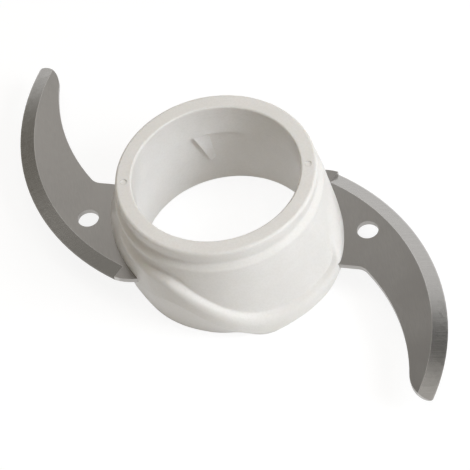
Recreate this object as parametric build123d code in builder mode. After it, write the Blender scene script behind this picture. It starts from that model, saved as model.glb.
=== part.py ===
# Food processor blade: a moulded ring hub with a flat steel plate, two swept arms, in its wall.
# Millimetres, +Z up, origin on the hub axis at the foot of the hub.

import os
from math import atan2, cos, degrees, hypot, radians, sin, sqrt

from build123d import *

# Hub bore: the upper bore runs on the drive column, the lower bore stands clear of it
bore_radius = 35.0
lower_bore_relief = 2.3
hub_height = 49.8
upper_bore_length = 16.6
bore_step_rise = 1.2
bore_lip_radius = 0.9
foot_chamfer = 0.8

# Hub collar: rim, neck and shoulder bead
rim_width = 7.0
rim_edge_radius = 1.3
rim_depth = 2.3
neck_draw_in = 0.3
collar_height = 11.4
shoulder_rise = 1.8
shoulder_draw_in = 0.3
neck_rise = 4.6

# Hub skirt: its wall leans out from the shoulder to a spiral lip, once per half turn
wall_thickness = 8.6
core_thickness = 3.7
skirt_root_thickness = 1.7
lip_reach = 10.0
ramp_drop = 2.4
tuck_rise = 1.0
tuck_draw_in = 0.3
bead_undercut = 3.0

# One row per radial cut of the skirt: the azimuth in degrees, then the distance out past the
# wall top (share of lip_reach) and the height (share of ramp_height) of the crease, the slope,
# the lip and the seam, then the distance out of the foot. The last row is the first one, half
# a turn on.
skirt_rows = [
    (143.0, 0.600, 0.511, 0.770, 0.492, 0.930, 0.456, 0.960, 0.331, 0.50),
    (146.0, 0.420, 0.628, 0.650, 0.556, 0.870, 0.478, 0.920, 0.322, 0.49),
    (150.0, 0.270, 0.778, 0.520, 0.639, 0.790, 0.492, 0.850, 0.314, 0.46),
    (155.0, 0.160, 0.883, 0.400, 0.728, 0.680, 0.517, 0.750, 0.311, 0.40),
    (161.0, 0.080, 0.961, 0.290, 0.794, 0.560, 0.539, 0.630, 0.311, 0.32),
    (168.0, 0.030, 0.994, 0.210, 0.828, 0.440, 0.567, 0.520, 0.314, 0.23),
    (177.0, -0.010, 1.000, 0.100, 0.856, 0.310, 0.597, 0.370, 0.317, 0.13),
    (190.0, -0.030, 0.994, 0.100, 0.867, 0.190, 0.667, 0.210, 0.322, 0.03),
    (204.0, -0.030, 0.983, 0.120, 0.883, 0.170, 0.764, 0.120, 0.333, -0.05),
    (220.0, -0.020, 0.961, 0.160, 0.889, 0.260, 0.806, 0.260, 0.472, 0.01),
    (232.0, 0.000, 0.928, 0.190, 0.867, 0.320, 0.789, 0.360, 0.542, 0.05),
    (244.0, 0.060, 0.761, 0.230, 0.708, 0.370, 0.639, 0.420, 0.450, 0.08),
    (256.0, 0.120, 0.556, 0.300, 0.506, 0.440, 0.439, 0.490, 0.267, 0.13),
    (266.0, 0.160, 0.411, 0.350, 0.361, 0.490, 0.300, 0.550, 0.139, 0.20),
    (276.0, 0.180, 0.317, 0.380, 0.269, 0.530, 0.211, 0.590, 0.053, 0.54),
    (290.0, 0.260, 0.286, 0.470, 0.242, 0.630, 0.183, 0.680, 0.056, 0.56),
    (303.0, 0.400, 0.317, 0.610, 0.283, 0.760, 0.228, 0.790, 0.111, 0.55),
    (313.0, 0.530, 0.372, 0.740, 0.344, 0.870, 0.294, 0.890, 0.178, 0.53),
    (323.0, 0.600, 0.511, 0.770, 0.492, 0.930, 0.456, 0.960, 0.331, 0.50),
]
half_turn = 180.0
tail_step = 0.05
tail_inset = 0.9

# Two wedge keys in the lower bore: each has a slanted crest, and a flank that slopes away
# to the bore wall. Their corners are degrees from the azimuth of the key.
key_azimuth = 90.0
key_foot_height = 15.5
key_relief = 0.6
key_root_depth = 1.5
key_crest_foot = 1.0
key_crest_top = 10.2
key_flank_foot = -2.6
key_flank_top = -0.5

# Two ejector marks on the rim
mark_azimuth = 171.5
mark_inset = 3.2
mark_radius = 1.35
mark_depth = 0.35

# Steel plate: a ring inside the hub wall and two arms swept back from the turning direction
plate_top_height = 15.5
plate_thickness = 2.2
plate_ring_cover = 2.3
plate_ring_width = 2.8

# Cutting edge: an arc from the heel, just outside the hub wall, to the tip
heel_reach = 8.9
heel_azimuth = 196.3
heel_radius = 22.0
heel_inner_azimuth = 206.8
tip_corner_radius = 127.4
tip_corner_azimuth = 120.5
edge_radius = 98.7
bevel_width = 6.3
edge_land = 0.2
bevel_overrun = 8.0
bevel_overrun_angle = 8.0

# Back edge: an arc from the tip to the root
tip_width = 10.2
tip_cut_angle = 322.6
tip_fillet_radius = 4.5
back_radius = 89.6
root_reach = 19.7
root_azimuth = 143.9
root_inner_azimuth = 135.9
root_fillet_radius = 6.0

# Round hole through each arm
arm_hole_radius = 4.5
arm_hole_reach = 16.0
arm_hole_azimuth = 161.5


def radial_plane(azimuth, centre=(0.0, 0.0)):
    """Upright plane through a vertical line; local x runs outwards, local y runs up."""
    angle = radians(azimuth)
    return Plane(
        origin=(centre[0], centre[1], 0.0),
        x_dir=(cos(angle), sin(angle), 0.0),
        z_dir=(sin(angle), -cos(angle), 0.0),
    )


def on_circle(centre, radius, azimuth):
    """Point of a circle in the XY plane."""
    angle = radians(azimuth)
    return (centre[0] + radius * cos(angle), centre[1] + radius * sin(angle))


def arc_centre(start, end, radius):
    """Centre of the arc between two points that bulges to the left of the way from start to end."""
    half_x = (end[0] - start[0]) / 2.0
    half_y = (end[1] - start[1]) / 2.0
    half_chord = hypot(half_x, half_y)
    offset = sqrt(radius**2 - half_chord**2) / half_chord
    return (start[0] + half_x + offset * half_y, start[1] + half_y - offset * half_x)


def azimuth_from(centre, point):
    """Direction of a point seen from a centre, in degrees."""
    return degrees(atan2(point[1] - centre[1], point[0] - centre[0])) % 360.0


def key_cut(height, crest, flank):
    """Level cut of the wedge key between its crest and its flank."""
    crest_azimuth = key_azimuth + crest
    flank_azimuth = key_azimuth + flank
    with BuildSketch(Plane.XY.offset(height)) as cut:
        with BuildLine():
            crest_point = on_circle((0.0, 0.0), bore_radius + key_relief, crest_azimuth)
            crest_root = on_circle((0.0, 0.0), lower_bore_radius + key_root_depth, crest_azimuth)
            flank_root = on_circle((0.0, 0.0), lower_bore_radius + key_root_depth, flank_azimuth)
            flank_point = on_circle((0.0, 0.0), lower_bore_radius, flank_azimuth)
            Polyline(crest_point, crest_root, flank_root, flank_point, close=True)
        make_face()
    return cut.sketch


def skirt_point(reach, height, inset):
    """Point of a skirt row in its radial plane, drawn in by a small distance."""
    return (wall_top_radius + reach * lip_reach - inset, height * ramp_height)


lower_bore_radius = bore_radius + lower_bore_relief
bore_step_top = hub_height - upper_bore_length
bore_step_foot = bore_step_top - bore_step_rise
rim_radius = bore_radius + rim_width
neck_radius = rim_radius - neck_draw_in
wall_top_radius = bore_radius + wall_thickness
shoulder_radius = wall_top_radius - shoulder_draw_in
core_radius = lower_bore_radius + core_thickness
skirt_inner_radius = lower_bore_radius + skirt_root_thickness
skirt_top_height = hub_height - collar_height
ramp_height = skirt_top_height - ramp_drop
plate_bottom_height = plate_top_height - plate_thickness
ring_inner_radius = lower_bore_radius + plate_ring_cover
ring_outer_radius = ring_inner_radius + plate_ring_width
ring_middle_radius = ring_inner_radius + plate_ring_width / 2.0

# One arm of the plate, flat and with square edges
with BuildPart() as arm:
    with BuildSketch(Plane.XY.offset(plate_bottom_height)) as arm_outline:
        heel_corner = on_circle((0.0, 0.0), wall_top_radius + heel_reach, heel_azimuth)
        tip_corner = on_circle((0.0, 0.0), tip_corner_radius, tip_corner_azimuth)
        back_tip = on_circle(tip_corner, tip_width, tip_cut_angle)
        back_root = on_circle((0.0, 0.0), wall_top_radius + root_reach, root_azimuth)
        heel_inner = on_circle((0.0, 0.0), ring_middle_radius, heel_inner_azimuth)
        root_inner = on_circle((0.0, 0.0), ring_middle_radius, root_inner_azimuth)
        with BuildLine():
            RadiusArc(heel_inner, heel_corner, heel_radius)
            RadiusArc(heel_corner, tip_corner, edge_radius)
            Line(tip_corner, back_tip)
            RadiusArc(back_tip, back_root, -back_radius)
            Line(back_root, root_inner)
            Line(root_inner, heel_inner)
        make_face()
        root_corner = arm_outline.vertices().sort_by_distance((*back_root, 0.0))[0]
        fillet(root_corner, root_fillet_radius)
        inner_tip_corner = arm_outline.vertices().sort_by_distance((*back_tip, 0.0))[0]
        fillet(inner_tip_corner, tip_fillet_radius)
        with Locations(on_circle((0.0, 0.0), wall_top_radius + arm_hole_reach, arm_hole_azimuth)):
            Circle(arm_hole_radius, mode=Mode.SUBTRACT)
    extrude(amount=plate_thickness)

    # The bevel is ground on the top side, parallel to the cutting edge, and stops at the heel
    edge_centre = arc_centre(heel_corner, tip_corner, edge_radius)
    bevel_start = azimuth_from(edge_centre, tip_corner) - bevel_overrun_angle
    bevel_end = azimuth_from(edge_centre, heel_corner)
    with BuildSketch(radial_plane(bevel_start, edge_centre)):
        with BuildLine():
            bevel_inner = (edge_radius - bevel_width, plate_top_height)
            bevel_top = (edge_radius + bevel_overrun, plate_top_height)
            bevel_side = (edge_radius + bevel_overrun, plate_bottom_height + edge_land)
            bevel_foot = (edge_radius, plate_bottom_height + edge_land)
            Polyline(bevel_inner, bevel_top, bevel_side, bevel_foot, close=True)
        make_face()
    revolve(
        axis=Axis((*edge_centre, 0.0), (0.0, 0.0, 1.0)),
        revolution_arc=bevel_end - bevel_start,
        mode=Mode.SUBTRACT,
    )

# Steel plate: both arms on the ring that the hub wall holds
with BuildPart() as blade:
    with BuildSketch(Plane.XY.offset(plate_bottom_height)):
        Circle(ring_outer_radius)
    extrude(amount=plate_thickness)
    with PolarLocations(0.0, 2):
        add(arm.part)
    with BuildSketch(Plane.XY.offset(plate_bottom_height)):
        Circle(ring_inner_radius)
    extrude(amount=plate_thickness, mode=Mode.SUBTRACT)
blade.part.label = "blade"

# Half of the hub skirt, lofted through its radial cuts. Its top is tucked into the shoulder
# bead. Its tail runs on into the other half, drawn in a little, so that the halves overlap.
last_azimuth, *last_shares = skirt_rows[-1]
next_azimuth, *next_shares = skirt_rows[1]
skirt_cuts = [(azimuth, shares, 0.0) for azimuth, *shares in skirt_rows[:-1]]
skirt_cuts.append((last_azimuth, last_shares, tail_step))
skirt_cuts.append((next_azimuth + half_turn, next_shares, tail_inset))
with BuildPart() as skirt:
    for azimuth, shares, inset in skirt_cuts:
        tuck_height = skirt_top_height + tuck_rise - inset
        tuck_inner = (skirt_inner_radius, tuck_height)
        tuck_outer = (wall_top_radius - tuck_draw_in - inset, tuck_height)
        crease = skirt_point(shares[0], shares[1], inset)
        slope = skirt_point(shares[2], shares[3], inset)
        lip = skirt_point(shares[4], shares[5], inset)
        seam = skirt_point(shares[6], shares[7], inset)
        foot = skirt_point(shares[8], 0.0, inset)
        foot_inner = (skirt_inner_radius, 0.0)
        with BuildSketch(radial_plane(azimuth)):
            with BuildLine():
                Polyline(foot_inner, tuck_inner, tuck_outer, crease)
                wall_run = (crease[0] - tuck_outer[0], crease[1] - tuck_outer[1])
                seam_run = (seam[0] - lip[0], seam[1] - lip[1])
                Spline(crease, slope, lip, seam, tangents=(wall_run, seam_run))
                Polyline(seam, foot, foot_inner)
            make_face()
    loft()

# Wedge key, run into the wall of the lower bore
with BuildPart() as key:
    foot_cut = key_cut(key_foot_height, key_crest_foot, key_flank_foot)
    top_cut = key_cut(bore_step_top, key_crest_top, key_flank_top)
    loft([foot_cut, top_cut], ruled=True)

# Hub: the turned ring, both skirt halves and both keys, then cut for the plate
with BuildPart() as hub:
    with BuildSketch(Plane.XZ):
        with BuildLine():
            foot_inner = (lower_bore_radius + foot_chamfer, 0.0)
            foot_outer = (core_radius, 0.0)
            bead_root = (core_radius, skirt_top_height - bead_undercut)
            wall_top = (wall_top_radius, skirt_top_height)
            shoulder = (shoulder_radius, skirt_top_height + shoulder_rise)
            neck_low = (neck_radius, skirt_top_height + neck_rise)
            neck_high = (rim_radius, hub_height - rim_depth)
            rim_outer = (rim_radius, hub_height)
            rim_inner = (bore_radius, hub_height)
            step_top = (bore_radius, bore_step_top)
            step_foot = (lower_bore_radius, bore_step_foot)
            bore_foot = (lower_bore_radius, foot_chamfer)
            Polyline(foot_inner, foot_outer, bead_root, wall_top)
            Spline(wall_top, shoulder, neck_low, tangents=((0.0, 1.0), (0.0, 1.0)))
            Polyline(neck_low, neck_high, rim_outer, rim_inner, step_top, step_foot, bore_foot, foot_inner)
        make_face()
    revolve(axis=Axis.Z)

    rim_edges = hub.edges().group_by(Axis.Z)[-1].sort_by(SortBy.RADIUS)
    fillet(rim_edges[-1], rim_edge_radius)
    rim_edges = hub.edges().group_by(Axis.Z)[-1].sort_by(SortBy.RADIUS)
    fillet(rim_edges[0], bore_lip_radius)

    with PolarLocations(0.0, 2):
        add(skirt.part)
    with PolarLocations(0.0, 2):
        add(key.part)
    with BuildSketch(Plane.XY.offset(hub_height)):
        with PolarLocations(bore_radius + mark_inset, 2, start_angle=mark_azimuth):
            Circle(mark_radius)
    extrude(amount=-mark_depth, mode=Mode.SUBTRACT)

    add(blade.part, mode=Mode.SUBTRACT)
hub.part.label = "hub"

os.makedirs("parts", exist_ok=True)
export_step(hub.part, "parts/hub.step")
export_step(blade.part, "parts/blade.step")
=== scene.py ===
"""Food processor blade: a white moulded ring hub with a flat ground steel plate of two arms in it.

Metres, +Z up, origin on the hub axis at the foot of the hub.
"""

import math

import bmesh
import bpy
import numpy as np
from mathutils import Matrix, Vector


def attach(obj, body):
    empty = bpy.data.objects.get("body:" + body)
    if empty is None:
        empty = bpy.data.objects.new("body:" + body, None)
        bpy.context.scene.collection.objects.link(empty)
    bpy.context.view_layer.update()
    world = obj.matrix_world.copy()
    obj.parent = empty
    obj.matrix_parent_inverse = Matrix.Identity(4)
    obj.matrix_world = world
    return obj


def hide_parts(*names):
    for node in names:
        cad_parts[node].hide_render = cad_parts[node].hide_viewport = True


MILLIMETRES = 1000.0  # in a metre
JOIN_DISTANCE = 1e-7

# Camera: offset in millimetres, angles in radians, focal length in pixels of the square picture
CAMERA_PITCH = 0.898634683
CAMERA_ROLL = 0.214194360
CAMERA_OFFSET = (-1.35354, 4.78128, 1439.34529)
CAMERA_CLIP = (0.05, 50.0)
FOCAL_PIXELS = 3416.795
PICTURE_PIXELS = 470
SENSOR_WIDTH = 36.0

# Plan of the steel plate, in metres: its cutting edge is an arc round this centre, and the bevel
# ends at this turn round it
EDGE_CENTRE = (0.018237, 0.056202)
EDGE_RADIUS = 0.0987
BEVEL_WIDTH = 0.0063
BEVEL_HEEL_TURN = math.radians(45.95)

# Plan curve of one rounded tip, in millimetres, from the back edge of the arm round to its cutting
# edge, and the corners that close it outside the plate
TIP_CURVE = (
    (-58.0, 88.0), (-58.80, 93.6), (-58.42, 97.0), (-58.48, 99.7), (-58.95, 102.3),
    (-59.95, 104.8), (-61.4, 106.8), (-62.8, 108.0), (-64.0, 108.6), (-65.1, 108.6),
    (-66.3, 107.7), (-68.0, 105.6), (-70.0, 103.0),
)
TIP_OUTSIDE = ((-76.0, 108.0), (-72.0, 116.0), (-60.0, 118.0), (-50.0, 110.0), (-50.0, 94.0))
TIP_STEPS = 6
TIP_CUT_HEIGHTS = (0.008, 0.020)
SHARP_ANGLE = math.radians(5.0)

# Changes of the hub's outer wall, in millimetres: how deep, then middle and half width over the
# height, the middle of the last two being counted from the crease of the lip
NECK_DEPTH, NECK_BELL = 0.50, (43.1, 1.4)
HOLLOW_DEPTH, HOLLOW_BELL = 0.65, (0.8, 1.6)
LEDGE_RISE, LEDGE_BELL = 0.50, (-3.6, 2.0)
WALL_RADIUS, WALL_TOP = 41.0, 47.0
SLOPE_STEP = 0.05

# The crease of the lip: height in millimetres over azimuth in degrees, within one half turn, and
# the azimuths where the hollow and the ledge along it begin, are full, start to fade and end
CREASE_AZIMUTH = (143.0, 155.0, 168.0, 177.0, 190.0, 204.0, 220.0, 232.0, 244.0, 256.0, 276.0,
                  303.0, 323.0)
CREASE_HEIGHT = (18.4, 31.8, 35.8, 36.0, 35.8, 35.4, 34.6, 33.4, 27.4, 20.0, 11.4, 11.4, 18.4)
HOLLOW_SPAN = (172.0, 188.0, 228.0, 246.0)

# Zones of the hub's finish, in metres: the soft ends of the bore, the rim and the foot, and the
# ejector mark with the line of painted shade round it
BORE_END = (0.0352, 0.0356)
RIM_START = (0.0484, 0.0490)
RIM_FACE = (0.0488, 0.0492)
FOOT_RISE = (0.0, 0.010)
MARK_PLACE = (-0.03778, 0.00565)
MARK_RADIUS = 0.00135
MARK_SHADE_WIDTHS = (0.00008, 0.00034)

# Tones of the moulding, and the share of each in what it lies on
WHITE_A = (0.868, 0.851, 0.829, 1.0)
WHITE_B = (0.896, 0.881, 0.862, 1.0)
SPECK_TONE, SPECK_SHARE = (0.800, 0.783, 0.756, 1.0), 0.32
# The next tone makes the hub darker and warmer towards its foot.
FOOT_TONE, FOOT_SHARE = (0.800, 0.780, 0.735, 1.0), 0.35
# The next tone is painted shade: a dark line round the edge of each ejector mark.
MARK_SHADE_TONE, MARK_SHADE_SHARE = (0.560, 0.545, 0.515, 1.0), 0.34
RUB_TONE, RUB_SHARE = (0.70, 0.685, 0.65, 1.0), 0.30

# Grain of the moulding: noise scales, the band of the speck noise that shows, the heights of specks
# and waves against the skin, and the depth and strength of all three
WHITE_SCALE, SPECK_SCALE, SKIN_SCALE, WAVE_SCALE = 70.0, 1100.0, 4200.0, 75.0
SPECK_BAND = (0.40, 0.62)
SPECK_HEIGHT, WAVE_HEIGHT = 2.4, 10.0
MOULDED_DEPTH, MOULDED_STRENGTH = 0.000012, 0.6

# Roughness of the moulding, and what its clouds and the rub marks add
SATIN, SATIN_CLOUDS, SATIN_RUB = 0.36, 0.08, 0.12

# Lines on the steel: half widths of the soft step into the bevel, in metres, and past its heel, in
# radians, then the painted highlight line at its upper edge and the reach of the one along the
# honed edge, in metres
BEVEL_STEP = 0.00005
HEEL_STEP = 0.001
RIDGE_HIGHLIGHT_WIDTHS = (0.00010, 0.00030)
EDGE_HIGHLIGHT_REACH = (0.0007, 0.0003)

# Tones of the steel, and the share of some in what they lie on
SHEET_A = (0.388, 0.373, 0.357, 1.0)
SHEET_B = (0.430, 0.415, 0.398, 1.0)
GROUND_A = (0.400, 0.389, 0.374, 1.0)
GROUND_B = (0.540, 0.528, 0.510, 1.0)
ROLLED_TONE, ROLLED_SHARE = (0.365, 0.353, 0.338, 1.0), 0.5
# The next tone is a painted highlight along the upper edge of the bevel and along the cutting edge.
HIGHLIGHT_TONE, HIGHLIGHT_SHARE = (0.640, 0.628, 0.610, 1.0), 0.55
SCUFF_TONE, SCUFF_SHARE = (0.42, 0.41, 0.395, 1.0), 0.35

# Grain of the steel: noise scales, the band of the rolled noise that shows, its height against the
# ground lines, and the depth and strength of both
SHEET_SCALE, GROUND_SCALE, ROLLED_SCALE = 45.0, 2600.0, 3600.0
ROLLED_BAND = (0.38, 0.64)
ROLLED_HEIGHT = 0.6
STEEL_DEPTH, STEEL_STRENGTH = 0.000006, 0.5

# Roughness of the faces and of the bevel, and what clouds and ground lines add
FACE_ROUGH, FACE_CLOUDS = 0.33, 0.06
BEVEL_ROUGH, BEVEL_LINES = 0.17, 0.10

# Floor and surroundings: the share of plain white in what the camera sees of the floor, the
# strength of that white, and the tone and strength of the light that comes from all round
FLOOR_HALF, FLOOR_LEVEL = 6.0, -0.0002
FLOOR_TONE = (0.90, 0.90, 0.90, 1.0)
FLOOR_SHARE = 0.77
FLOOR_GLOW = 1.12
WHITE = (1.0, 1.0, 1.0, 1.0)
ROUND_TONE = (1.0, 0.88, 0.71, 1.0)
ROUND_STRENGTH = 0.25

# Cards overhead that only gloss sees: height, tone and plan corners of each
CARDS = {
    "ceiling": (
        1.3, (0.34, 0.33, 0.31),
        ((-3.0, -2.2), (-3.0, 3.2), (-0.6, 2.4), (0.75, 1.95), (0.80, 1.0), (1.7, 0.95),
         (1.7, -2.2)),
    ),
    "bright_patch": (
        1.28, (1.05, 1.03, 1.0),
        ((-0.85, 0.74), (-0.80, 1.62), (0.26, 1.48), (0.28, 0.95), (-0.05, 0.87), (-0.40, 0.82)),
    ),
    "right_patch": (
        1.28, (0.80, 0.78, 0.75), ((0.45, -0.05), (0.45, 0.50), (1.20, 0.50), (1.20, -0.05)),
    ),
    "dim_patch": (
        1.28, (0.04, 0.038, 0.035), ((-0.15, -0.20), (-0.15, 0.76), (0.42, 0.76), (0.42, -0.20)),
    ),
    "gap_patch": (
        1.28, (0.02, 0.019, 0.017), ((0.60, 0.56), (0.60, 0.94), (1.70, 0.92), (1.70, 0.56)),
    ),
}

# Dark wall on the shaded side: tone and corners
WALL_TONE = (0.13, 0.115, 0.085)
WALL_CORNERS = ((-0.8, -1.8, 0.02), (-1.2, 2.2, 0.02), (-1.2, 2.2, 1.3), (-0.8, -1.8, 1.3))

# Lamps: place, width, power, colour, and whether gloss mirrors them. All look at LAMP_TARGET
LAMP_TARGET = (0.0, 0.0, 0.02)
KEY_PLACE = (1.02, -0.68, 0.92)
KEY_COLOUR = (0.908, 0.953, 1.0)
LAMPS = {
    "key_light": (KEY_PLACE, 0.9, 6.0, KEY_COLOUR, True),
    "key_spread": (KEY_PLACE, 0.6, 9.8, KEY_COLOUR, False),
    "top_light": ((0.05, 0.02, 1.25), 0.8, 3.4, (1.0, 0.98, 0.95), False),
}

# Places of the colour sockets of a Mix node
MIX_A, MIX_B, MIX_RESULT = 6, 7, 2


# ---------------------------------------------------------------- node helpers


def add_node(tree, kind, **values):
    """One node; keywords set its properties."""
    node = tree.nodes.new(kind)
    for key, value in values.items():
        setattr(node, key, value)
    return node


def feed(tree, socket, source):
    """Link a source socket into an input, or write a constant on it."""
    if isinstance(source, bpy.types.NodeSocket):
        tree.links.new(source, socket)
    else:
        socket.default_value = source


def feed_all(tree, node, sources):
    """Feed the inputs of a node that a dictionary names."""
    for label, source in sources.items():
        feed(tree, node.inputs[label], source)


def math_node(tree, operation, a, b=None, c=None, clamp=False):
    """Output of one Math node."""
    node = add_node(tree, "ShaderNodeMath", operation=operation, use_clamp=clamp)
    for index, value in enumerate((a, b, c)):
        if value is not None:
            feed(tree, node.inputs[index], value)
    return node.outputs[0]


def times(tree, a, b):
    """a times b."""
    return math_node(tree, "MULTIPLY", a, b)


def scaled_on(tree, value, factor, start):
    """value times factor plus start."""
    return math_node(tree, "MULTIPLY_ADD", value, factor, start)


def off_line(tree, value, line):
    """Distance of a value from a line's value, never below zero."""
    return math_node(tree, "ABSOLUTE", math_node(tree, "SUBTRACT", value, line))


def band_mask(tree, value, start, end):
    """0 before start, 1 after end, smooth between them."""
    node = add_node(tree, "ShaderNodeMapRange", interpolation_type="SMOOTHSTEP")
    feed_all(tree, node, {"Value": value, "From Min": start, "From Max": end})
    return node.outputs["Result"]


def fade_mask(tree, value, start, end):
    """1 before start, 0 after end, smooth between them."""
    return math_node(tree, "SUBTRACT", 1.0, band_mask(tree, value, start, end))


def mix_colour(tree, factor, a, b):
    """Colour a turned into colour b by a factor."""
    node = add_node(tree, "ShaderNodeMix", data_type="RGBA")
    feed(tree, node.inputs["Factor"], factor)
    feed(tree, node.inputs[MIX_A], a)
    feed(tree, node.inputs[MIX_B], b)
    return node.outputs[MIX_RESULT]


def split_place(tree, place):
    """Outputs of a place's X, Y and Z."""
    split = add_node(tree, "ShaderNodeSeparateXYZ")
    feed(tree, split.inputs[0], place)
    return split.outputs


def join_place(tree, x, y, z):
    """Place from its X, Y and Z."""
    joined = add_node(tree, "ShaderNodeCombineXYZ")
    feed_all(tree, joined, {"X": x, "Y": y, "Z": z})
    return joined.outputs[0]


def noise(tree, place, scale, detail, roughness):
    """Soft noise about one half."""
    clouds = add_node(tree, "ShaderNodeTexNoise")
    feed_all(tree, clouds, {
        "Vector": place, "Scale": scale, "Detail": detail, "Roughness": roughness,
    })
    return clouds.outputs["Fac"]


def new_group(name, inputs, outputs):
    """Empty shader node group with named sockets; gives the tree, what is given to it, and its
    output node."""
    tree = bpy.data.node_groups.new(name, "ShaderNodeTree")
    for label, kind in inputs.items():
        tree.interface.new_socket(label, in_out="INPUT", socket_type="NodeSocket" + kind)
    for label, kind in outputs.items():
        tree.interface.new_socket(label, in_out="OUTPUT", socket_type="NodeSocket" + kind)
    return tree, tree.nodes.new("NodeGroupInput").outputs, tree.nodes.new("NodeGroupOutput")


def use_group(tree, group, **sources):
    """Outputs of a group placed in a tree; underscores in a keyword stand for spaces."""
    node = add_node(tree, "ShaderNodeGroup", node_tree=group)
    feed_all(tree, node, {key.replace("_", " "): source for key, source in sources.items()})
    return node.outputs


# ---------------------------------------------------------------- shared effects


def make_mottle():
    """Slow cloudy change between two tones, and the mask of that change."""
    tree, given, result = new_group(
        "mottle",
        {"Place": "Vector", "Scale": "Float", "Tone A": "Color", "Tone B": "Color"},
        {"Color": "Color", "Mask": "Float"},
    )
    mask = band_mask(tree, noise(tree, given["Place"], given["Scale"], 4.0, 0.55), 0.36, 0.66)
    colour = mix_colour(tree, mask, given["Tone A"], given["Tone B"])
    feed_all(tree, result, {"Color": colour, "Mask": mask})
    return tree


def drawn_place(tree, given):
    """The place given to a group, times the stretch given to it."""
    drawn = add_node(tree, "ShaderNodeVectorMath", operation="MULTIPLY")
    feed(tree, drawn.inputs[0], given["Place"])
    feed(tree, drawn.inputs[1], given["Stretch"])
    return drawn.outputs[0]


def make_grain():
    """Height of a fine grain, drawn out along each axis whose stretch is under one."""
    tree, given, result = new_group(
        "grain", {"Place": "Vector", "Stretch": "Vector", "Scale": "Float"}, {"Height": "Float"},
    )
    feed_all(tree, result, {
        "Height": noise(tree, drawn_place(tree, given), given["Scale"], 3.0, 0.6),
    })
    return tree


def make_scratches():
    """Sparse thin lines: the narrow middle band of a drawn-out noise, kept in scattered patches."""
    tree, given, result = new_group(
        "scratches",
        {"Place": "Vector", "Stretch": "Vector", "Scale": "Float", "Width": "Float"},
        {"Mask": "Float"},
    )
    lines = noise(tree, drawn_place(tree, given), given["Scale"], 1.0, 0.5)
    off_middle = math_node(tree, "DIVIDE", off_line(tree, lines, 0.5), given["Width"])
    line = math_node(tree, "SUBTRACT", 1.0, off_middle, clamp=True)
    patches = band_mask(tree, noise(tree, given["Place"], 120.0, 2.0, 0.5), 0.52, 0.66)
    feed_all(tree, result, {"Mask": times(tree, line, patches)})
    return tree


def make_turned_place():
    """Cylindrical place round an upright axis: distance along the turn, height, distance out."""
    tree, given, result = new_group(
        "turned place",
        {"Place": "Vector", "Centre": "Vector"},
        {"Place": "Vector", "Turn": "Float", "Distance": "Float"},
    )
    apart = add_node(tree, "ShaderNodeVectorMath", operation="SUBTRACT")
    feed(tree, apart.inputs[0], given["Place"])
    feed(tree, apart.inputs[1], given["Centre"])
    split = split_place(tree, apart.outputs[0])
    back_x = times(tree, split["X"], -1.0)
    back_y = times(tree, split["Y"], -1.0)
    turn = math_node(tree, "ARCTAN2", back_y, back_x)
    square = scaled_on(tree, back_x, back_x, times(tree, back_y, back_y))
    distance = math_node(tree, "SQRT", square)
    place = join_place(tree, times(tree, turn, distance), split["Z"], distance)
    feed_all(tree, result, {"Place": place, "Turn": turn, "Distance": distance})
    return tree


def make_folded_place():
    """Place on the side where X is below zero: the other side comes there by half a turn."""
    tree, given, result = new_group("folded place", {"Place": "Vector"}, {"Place": "Vector"})
    split = split_place(tree, given["Place"])
    side = times(tree, math_node(tree, "SIGN", split["X"]), -1.0)
    near_x, near_y = times(tree, split["X"], side), times(tree, split["Y"], side)
    feed_all(tree, result, {"Place": join_place(tree, near_x, near_y, split["Z"])})
    return tree


# ---------------------------------------------------------------- finishes


def bare_material(name):
    """Material with an empty tree; gives it, the tree and the Surface input of its output."""
    material = bpy.data.materials.new(name)
    material.use_nodes = True
    tree = material.node_tree
    tree.nodes.clear()
    return material, tree, tree.nodes.new("ShaderNodeOutputMaterial").inputs["Surface"]


def finish_material(name):
    """Material with its main shader; gives it, the tree, the shader and the object's own place."""
    material, tree, surface = bare_material(name)
    shader = tree.nodes.new("ShaderNodeBsdfPrincipled")
    tree.links.new(shader.outputs["BSDF"], surface)
    return material, tree, shader, tree.nodes.new("ShaderNodeTexCoord").outputs["Object"]


def bump_normal(tree, height, distance, strength):
    """Normal of a height laid over the surface."""
    bump = add_node(tree, "ShaderNodeBump")
    feed_all(tree, bump, {"Height": height, "Distance": distance, "Strength": strength})
    return bump.outputs["Normal"]


def even_grain(tree, effects, place, scale):
    """Height of a grain that is drawn out nowhere."""
    return use_group(tree, effects["grain"], Place=place, Stretch=(1, 1, 1), Scale=scale)["Height"]


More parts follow.
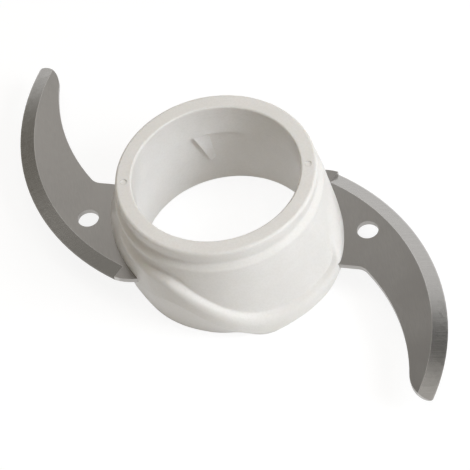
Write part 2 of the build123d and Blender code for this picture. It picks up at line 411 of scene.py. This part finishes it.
def moulded_white(effects):
    """Satin white moulding: cloudy off-white, spark-textured skin, rub marks in the bore, a darker,
    warmer tone towards the foot and a thin line of painted shade round each ejector mark."""
    material, tree, shader, place = finish_material("moulded_white")
    height = split_place(tree, place)["Z"]
    turned = use_group(tree, effects["turned"], Place=place, Centre=(0, 0, 0))
    clouds = use_group(
        tree, effects["mottle"], Place=place, Scale=WHITE_SCALE, Tone_A=WHITE_A, Tone_B=WHITE_B,
    )
    specks = even_grain(tree, effects, place, SPECK_SCALE)
    speckled = mix_colour(tree, band_mask(tree, specks, *SPECK_BAND), clouds["Color"], SPECK_TONE)
    toned = mix_colour(tree, SPECK_SHARE, clouds["Color"], speckled)

    # Darker, warmer tone towards the foot.
    low = times(tree, fade_mask(tree, height, *FOOT_RISE), FOOT_SHARE)
    darker_low = mix_colour(tree, low, toned, FOOT_TONE)

    one_side = use_group(tree, effects["folded"], Place=place)["Place"]
    mark = use_group(tree, effects["turned"], Place=one_side, Centre=(*MARK_PLACE, 0.0))
    # Painted shade: a dark line round the edge of each ejector mark, on the rim face.
    ring = fade_mask(tree, off_line(tree, mark["Distance"], MARK_RADIUS), *MARK_SHADE_WIDTHS)
    ring = times(tree, ring, band_mask(tree, height, *RIM_FACE))
    ring_shaded = mix_colour(tree, times(tree, ring, MARK_SHADE_SHARE), darker_low, MARK_SHADE_TONE)

    in_bore = fade_mask(tree, turned["Distance"], *BORE_END)
    below_rim = fade_mask(tree, height, *RIM_START)
    rub = use_group(
        tree, effects["scratches"], Place=turned["Place"], Stretch=(0.035, 1.0, 1.0),
        Scale=1500.0, Width=0.03,
    )
    rub_mask = times(tree, rub["Mask"], times(tree, in_bore, below_rim))
    colour = mix_colour(tree, times(tree, rub_mask, RUB_SHARE), ring_shaded, RUB_TONE)

    satin = scaled_on(tree, clouds["Mask"], SATIN_CLOUDS, SATIN)
    skin = even_grain(tree, effects, place, SKIN_SCALE)
    waves = even_grain(tree, effects, place, WAVE_SCALE)
    relief = scaled_on(tree, waves, WAVE_HEIGHT, scaled_on(tree, specks, SPECK_HEIGHT, skin))
    feed_all(tree, shader, {
        "Base Color": colour,
        "Roughness": scaled_on(tree, rub_mask, SATIN_RUB, satin),
        "Normal": bump_normal(tree, relief, MOULDED_DEPTH, MOULDED_STRENGTH),
        "Subsurface Weight": 0.12,
        "Subsurface Radius": (0.0030, 0.0024, 0.0018),
        "Subsurface Scale": 1.0,
        "IOR": 1.49,
    })
    return material


def ground_steel(effects):
    """Stainless sheet: rolled grain and scuffs on the faces, and a bevel ground across its cutting
    edge with a painted highlight line along its upper edge and along the honed cutting edge."""
    material, tree, shader, place = finish_material("ground_steel")
    one_side = use_group(tree, effects["folded"], Place=place)["Place"]
    arm = use_group(tree, effects["turned"], Place=one_side, Centre=(*EDGE_CENTRE, 0.0))
    inner = EDGE_RADIUS - BEVEL_WIDTH
    outside = band_mask(tree, arm["Distance"], inner - BEVEL_STEP, inner + BEVEL_STEP)
    before_heel = fade_mask(
        tree, arm["Turn"], BEVEL_HEEL_TURN - HEEL_STEP, BEVEL_HEEL_TURN + HEEL_STEP,
    )
    bevel = times(tree, outside, before_heel)

    clouds = use_group(
        tree, effects["mottle"], Place=place, Scale=SHEET_SCALE, Tone_A=SHEET_A, Tone_B=SHEET_B,
    )
    ground = use_group(
        tree, effects["grain"], Place=arm["Place"], Stretch=(1.0, 0.02, 0.02), Scale=GROUND_SCALE,
    )["Height"]
    rolled = use_group(
        tree, effects["grain"], Place=place, Stretch=(1.0, 0.06, 1.0), Scale=ROLLED_SCALE,
    )["Height"]
    rolled_mask = band_mask(tree, rolled, *ROLLED_BAND)
    rolled_tone = mix_colour(tree, rolled_mask, clouds["Color"], ROLLED_TONE)
    faces = mix_colour(tree, ROLLED_SHARE, clouds["Color"], rolled_tone)
    ground_in = mix_colour(tree, bevel, faces, mix_colour(tree, ground, GROUND_A, GROUND_B))

    # Painted highlight: a light line along the upper edge of the bevel and along the cutting edge.
    ridge_highlight = fade_mask(tree, off_line(tree, arm["Distance"], inner), *RIDGE_HIGHLIGHT_WIDTHS)
    ridge_highlight = times(tree, ridge_highlight, before_heel)
    edge_highlight = band_mask(tree, arm["Distance"], *(EDGE_RADIUS - reach for reach in EDGE_HIGHLIGHT_REACH))
    painted_highlight = times(tree, math_node(tree, "MAXIMUM", ridge_highlight, edge_highlight), HIGHLIGHT_SHARE)
    highlighted = mix_colour(tree, painted_highlight, ground_in, HIGHLIGHT_TONE)
    scuffs = use_group(
        tree, effects["scratches"], Place=place, Stretch=(0.35, 0.05, 1.0), Scale=1100.0,
        Width=0.012,
    )
    colour = mix_colour(tree, times(tree, scuffs["Mask"], SCUFF_SHARE), highlighted, SCUFF_TONE)

    face_rough = scaled_on(tree, clouds["Mask"], FACE_CLOUDS, FACE_ROUGH)
    bevel_rough = scaled_on(tree, ground, BEVEL_LINES, BEVEL_ROUGH)
    change = math_node(tree, "SUBTRACT", bevel_rough, face_rough)
    relief = scaled_on(tree, rolled, ROLLED_HEIGHT, times(tree, ground, bevel))
    feed_all(tree, shader, {
        "Base Color": colour,
        "Metallic": 1.0,
        "Roughness": scaled_on(tree, bevel, change, face_rough),
        "Normal": bump_normal(tree, relief, STEEL_DEPTH, STEEL_STRENGTH),
    })
    return material


# ---------------------------------------------------------------- studio


def place_data(name, data):
    """Object for some data, at the origin of the scene."""
    holder = bpy.data.objects.new(name, data)
    bpy.context.scene.collection.objects.link(holder)
    return holder


def aim_camera():
    """Camera of the picture: pitch, roll, offset and focal length give its matrix."""
    sin_pitch, cos_pitch = math.sin(CAMERA_PITCH), math.cos(CAMERA_PITCH)
    sin_roll, cos_roll = math.sin(CAMERA_ROLL), math.cos(CAMERA_ROLL)
    level = np.array([[1.0, 0.0, 0.0], [0.0, -sin_pitch, -cos_pitch], [0.0, cos_pitch, -sin_pitch]])
    roll = np.array([[cos_roll, sin_roll, 0.0], [-sin_roll, cos_roll, 0.0], [0.0, 0.0, 1.0]])
    turned = roll @ level
    matrix = np.eye(4)
    matrix[:3, :3] = turned.T @ np.diag([1.0, -1.0, -1.0])
    matrix[:3, 3] = -turned.T @ np.array(CAMERA_OFFSET) / MILLIMETRES
    camera = bpy.data.cameras.new("camera")
    camera.sensor_width = SENSOR_WIDTH
    camera.lens = FOCAL_PIXELS / PICTURE_PIXELS * SENSOR_WIDTH
    camera.clip_start, camera.clip_end = CAMERA_CLIP
    holder = place_data("camera", camera)
    holder.matrix_world = Matrix(matrix.tolist())
    bpy.context.scene.camera = holder


def soft_lamp(name, place, size, power, colour, mirrored):
    """Square area lamp that looks at the middle of the hub."""
    lamp = bpy.data.lights.new(name, "AREA")
    lamp.size, lamp.energy, lamp.color = size, power, colour
    holder = place_data(name, lamp)
    place = Vector(place)
    turn = (Vector(LAMP_TARGET) - place).to_track_quat("-Z", "Y")
    holder.matrix_world = Matrix.Translation(place) @ turn.to_matrix().to_4x4()
    holder.visible_glossy = mirrored


def glow_node(tree, kind, colour, strength):
    """Output of a shader that gives off one tone."""
    glow = tree.nodes.new(kind)
    feed_all(tree, glow, {"Color": colour, "Strength": strength})
    return glow.outputs[0]


def blend_shaders(tree, share, first, second, surface):
    """Link the mix of two shaders into a surface: the second by its share."""
    mix = tree.nodes.new("ShaderNodeMixShader")
    for socket, source in zip(mix.inputs, (share, first, second)):
        tree.links.new(source, socket)
    tree.links.new(mix.outputs[0], surface)


def seen_directly(tree):
    """1 for a ray from the camera, a gloss or a clear body, and 0 where light is gathered."""
    rays = tree.nodes.new("ShaderNodeLightPath").outputs
    gloss = math_node(tree, "MAXIMUM", rays["Is Camera Ray"], rays["Is Glossy Ray"])
    return math_node(tree, "MAXIMUM", gloss, rays["Is Transmission Ray"])


def light_world():
    """Even surroundings: white where they are seen, a dimmer warm tone where they give light."""
    world = bpy.data.worlds.new("surroundings")
    bpy.context.scene.world = world
    world.use_nodes = True
    tree = world.node_tree
    tree.nodes.clear()
    giving = glow_node(tree, "ShaderNodeBackground", ROUND_TONE, ROUND_STRENGTH)
    shown = glow_node(tree, "ShaderNodeBackground", WHITE, 1.0)
    surface = tree.nodes.new("ShaderNodeOutputWorld").inputs["Surface"]
    blend_shaders(tree, seen_directly(tree), giving, shown, surface)


def pale_floor():
    """Matt pale floor: seen directly it is lifted to white, and keeps the part's shadow."""
    material, tree, surface = bare_material("pale_floor")
    matt = tree.nodes.new("ShaderNodeBsdfDiffuse")
    matt.inputs["Color"].default_value = FLOOR_TONE
    glow = glow_node(tree, "ShaderNodeEmission", WHITE, FLOOR_GLOW)
    share = times(tree, seen_directly(tree), FLOOR_SHARE)
    blend_shaders(tree, share, matt.outputs[0], glow, surface)
    return material


def even_tone(name, tone):
    """Card material that shows one tone, whatever light falls on it."""
    material, tree, surface = bare_material(name)
    tree.links.new(glow_node(tree, "ShaderNodeEmission", (*tone, 1.0), 1.0), surface)
    return material


def lay_sheet(name, corners, material):
    """Flat sheet of the studio, from its corners in order."""
    mesh = bpy.data.meshes.new(name)
    mesh.from_pydata(corners, [], [tuple(range(len(corners)))])
    mesh.materials.append(material)
    sheet = place_data(name, mesh)
    return sheet


def build_studio():
    """White floor, cards that shape what the part mirrors, a dark wall at its side, and lamps."""
    light_world()
    square = [(-1, -1), (1, -1), (1, 1), (-1, 1)]
    corners = [(FLOOR_HALF * x, FLOOR_HALF * y, FLOOR_LEVEL) for x, y in square]
    lay_sheet("floor", corners, pale_floor())
    cards = [lay_sheet("side_wall", WALL_CORNERS, even_tone("wall_tone", WALL_TONE))]
    for name, (height, tone, plan) in CARDS.items():
        corners = [(x, y, height) for x, y in plan]
        card = lay_sheet(name, corners, even_tone(name + "_tone", tone))
        card.visible_diffuse = False
        card.visible_shadow = False
        cards.append(card)
    for card in cards:
        card.visible_camera = False
        card.visible_transmission = False
    for name, values in LAMPS.items():
        soft_lamp(name, *values)


# ---------------------------------------------------------------- meshes


def read_vectors(items, field):
    """Array of one vector of each item of a mesh, a row for each."""
    values = np.empty(len(items) * 3, dtype=np.float32)
    items.foreach_get(field, values)
    return values.reshape(-1, 3)


def mend_mesh(mesh, mend):
    """Run one bmesh step on a mesh."""
    whole = bmesh.new()
    whole.from_mesh(mesh)
    mend(whole)
    whole.to_mesh(mesh)
    whole.free()


def joined_copy(node, name):
    """Object with a copy of a node's mesh, its loose triangles joined at their corners. The corner
    attribute "facing" keeps the normal that each corner had."""
    mesh = node.data.copy()
    normals = read_vectors(mesh.corner_normals, "vector")
    facing = mesh.attributes.new("facing", "FLOAT_VECTOR", "CORNER")
    facing.data.foreach_set("vector", normals.ravel())
    mend_mesh(mesh, lambda whole: bmesh.ops.remove_doubles(
        whole, verts=whole.verts, dist=JOIN_DISTANCE,
    ))
    return place_data(name, mesh)


def upright_prism(name, outline, low, high):
    """Closed upright prism: the plan outline at two heights, a wall face for each pair of
    neighbours, and a face over each end."""
    count = len(outline)
    ends = [np.column_stack([outline, np.full(count, z)]) for z in (low, high)]
    first = np.arange(count)
    following = np.roll(first, -1)
    walls = np.column_stack([first, following, following + count, first + count])
    faces = walls.tolist() + [first[::-1].tolist(), (first + count).tolist()]
    mesh = bpy.data.meshes.new(name)
    mesh.from_pydata(np.concatenate(ends).tolist(), [], faces)
    mend_mesh(mesh, lambda whole: bmesh.ops.recalc_face_normals(whole, faces=whole.faces))
    return place_data(name, mesh)


# ---------------------------------------------------------------- the steel plate


def smooth_path(points, steps):
    """Catmull-Rom curve through plan points: for each span, the cubic whose end slopes are half the
    step between the neighbours of its ends, taken at even steps."""
    p = np.asarray(points, dtype=float)
    t = (np.arange(steps) / steps)[None, :, None]
    before, here, there, after = (q[:, None, :] for q in (p[:-3], p[1:-2], p[2:-1], p[3:]))
    curve = 0.5 * (
        2.0 * here + (there - before) * t
        + (2.0 * before - 5.0 * here + 4.0 * there - after) * t ** 2
        + (3.0 * here - before - 3.0 * there + after) * t ** 3
    )
    return np.concatenate([curve.reshape(-1, 2), p[-2:-1]])


def round_tips(node):
    """The plate with both arm tips rounded as ground ones are: each tip loses what lies outside a
    smooth curve, and the second curve is the first one half a turn round."""
    plate = joined_copy(node, "rounded_plate")
    plate.data.attributes.remove(plate.data.attributes["facing"])
    curve = np.concatenate([smooth_path(TIP_CURVE, TIP_STEPS), TIP_OUTSIDE]) / MILLIMETRES
    cutters = [
        upright_prism("tip_cut_" + label, curve * turn, *TIP_CUT_HEIGHTS)
        for label, turn in (("a", 1.0), ("b", -1.0))
    ]
    for cutter in cutters:
        cut = plate.modifiers.new("cut", "BOOLEAN")
        cut.operation, cut.solver, cut.object = "DIFFERENCE", "EXACT", cutter
    graph = bpy.context.evaluated_depsgraph_get()
    shaped = bpy.data.meshes.new_from_object(plate.evaluated_get(graph))
    plate.modifiers.clear()
    plate.data = shaped
    for cutter in cutters:
        bpy.data.objects.remove(cutter)
    shaped.shade_smooth()
    shaped.set_sharp_from_angle(angle=SHARP_ANGLE)
    return plate


# ---------------------------------------------------------------- the ring hub


def bell(value, middle, width):
    """Bell curve over a value: e to the power of minus the square of its distance in widths."""
    return np.exp(-((value - middle) / width) ** 2)


def smooth_rise(value, start, end):
    """0 before start, 1 after end, and between them the cubic that is level at both."""
    share = np.clip((value - start) / (end - start), 0.0, 1.0)
    return share * share * (3.0 - 2.0 * share)


def wall_offset(azimuth, height):
    """Radial offset of the outer wall in millimetres: bells over the height, minus NECK_DEPTH round
    the neck, minus HOLLOW_DEPTH just over the crease of the lip and plus LEDGE_RISE under it. The
    last two are scaled by a smooth rise and fall over the azimuth within one half turn."""
    turned = azimuth % 180.0
    turned = np.where(turned < CREASE_AZIMUTH[0], turned + 180.0, turned)
    above_crease = height - np.interp(turned, CREASE_AZIMUTH, CREASE_HEIGHT)
    start, full, fade, end = HOLLOW_SPAN
    share = smooth_rise(turned, start, full) * (1.0 - smooth_rise(turned, fade, end))
    ledge = LEDGE_RISE * bell(above_crease, *LEDGE_BELL)
    hollow = HOLLOW_DEPTH * bell(above_crease, *HOLLOW_BELL)
    return share * (ledge - hollow) - NECK_DEPTH * bell(height, *NECK_BELL)


def relieve_hub(node):
    """The hub with the soft hollows of its moulding: each point of the outer wall moves along its
    radius by wall_offset, and each normal n turns to n minus (n along the radius) times the slope
    of that offset, which is its change over the arc and over the height."""
    hub = joined_copy(node, "moulded_hub")
    mesh = hub.data
    points = read_vectors(mesh.vertices, "co").astype(float) * MILLIMETRES
    radius = np.hypot(points[:, 0], points[:, 1])
    azimuth, height = np.degrees(np.arctan2(points[:, 1], points[:, 0])), points[:, 2]
    outer = ((radius > WALL_RADIUS) & (height < WALL_TOP)).astype(float)
    outward = np.column_stack([points[:, :2] / radius[:, None], np.zeros(len(points))])
    along = np.column_stack([-outward[:, 1], outward[:, 0], np.zeros(len(points))])

    offset = outer * wall_offset(azimuth, height)
    turn = np.degrees(SLOPE_STEP / radius)
    over_arc = wall_offset(azimuth + turn, height) - wall_offset(azimuth - turn, height)
    over_height = (
        wall_offset(azimuth, height + SLOPE_STEP) - wall_offset(azimuth, height - SLOPE_STEP)
    )
    slope = along * (outer * over_arc / (2.0 * SLOPE_STEP))[:, None]
    slope[:, 2] += outer * over_height / (2.0 * SLOPE_STEP)

    corner = np.empty(len(mesh.loops), dtype=np.int32)
    mesh.loops.foreach_get("vertex_index", corner)
    normals = read_vectors(mesh.attributes["facing"].data, "vector").astype(float)
    normals -= (normals * outward[corner]).sum(axis=1, keepdims=True) * slope[corner]
    normals /= np.linalg.norm(normals, axis=1, keepdims=True)

    points += outward * offset[:, None]
    mesh.vertices.foreach_set("co", (points / MILLIMETRES).astype(np.float32).ravel())
    mesh.attributes.remove(mesh.attributes["facing"])
    mesh.shade_smooth()
    mesh.update()
    mesh.normals_split_custom_set(normals.tolist())
    return hub


# ---------------------------------------------------------------- the object

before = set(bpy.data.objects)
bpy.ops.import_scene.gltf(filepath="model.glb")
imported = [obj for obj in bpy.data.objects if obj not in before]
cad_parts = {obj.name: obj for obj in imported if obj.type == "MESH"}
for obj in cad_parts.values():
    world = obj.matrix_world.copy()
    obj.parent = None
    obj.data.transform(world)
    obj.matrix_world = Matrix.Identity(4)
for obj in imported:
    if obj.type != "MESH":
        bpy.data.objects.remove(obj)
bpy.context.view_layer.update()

effects = {
    "mottle": make_mottle(),
    "grain": make_grain(),
    "scratches": make_scratches(),
    "turned": make_turned_place(),
    "folded": make_folded_place(),
}
hub = relieve_hub(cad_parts["hub"])
plate = round_tips(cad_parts["blade"])
for piece, node in ((hub, "hub"), (plate, "blade")):
    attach(piece, "root")
    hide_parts(node)
for piece, material in ((hub, moulded_white(effects)), (plate, ground_steel(effects))):
    piece.data.materials.clear()
    piece.data.materials.append(material)

aim_camera()
build_studio()
bpy.context.scene.view_settings.view_transform = "Standard"
